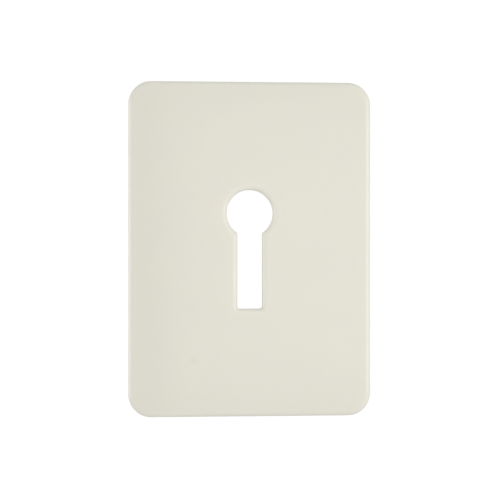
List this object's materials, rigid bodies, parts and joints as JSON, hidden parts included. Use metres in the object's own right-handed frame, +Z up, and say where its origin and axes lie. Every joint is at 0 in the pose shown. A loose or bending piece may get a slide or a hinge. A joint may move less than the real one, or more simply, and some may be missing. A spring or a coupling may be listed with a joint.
{
  "type": "keyhole escutcheon",
  "caption": "Flat rectangular keyhole escutcheon with rounded corners and rolled front edges: a moulded plate that covers a lock's cut-out and lets the key pass through it.",
  "frame": {"origin": "where the key's axis, the centre of the keyhole's round head, meets the plane of the flat back", "axes": "+Z up the plate as it sits on the door, +X across it to the right as seen from the front, and the front faces -Y"},
  "size_m": [0.0508, 0.003, 0.07],
  "materials": {
    "ivory_plastic": "satin, as it came from the mould"
  },
  "bodies": {
    "root": {"escutcheon_plate": "ivory_plastic"}
  },
  "joints": []
}
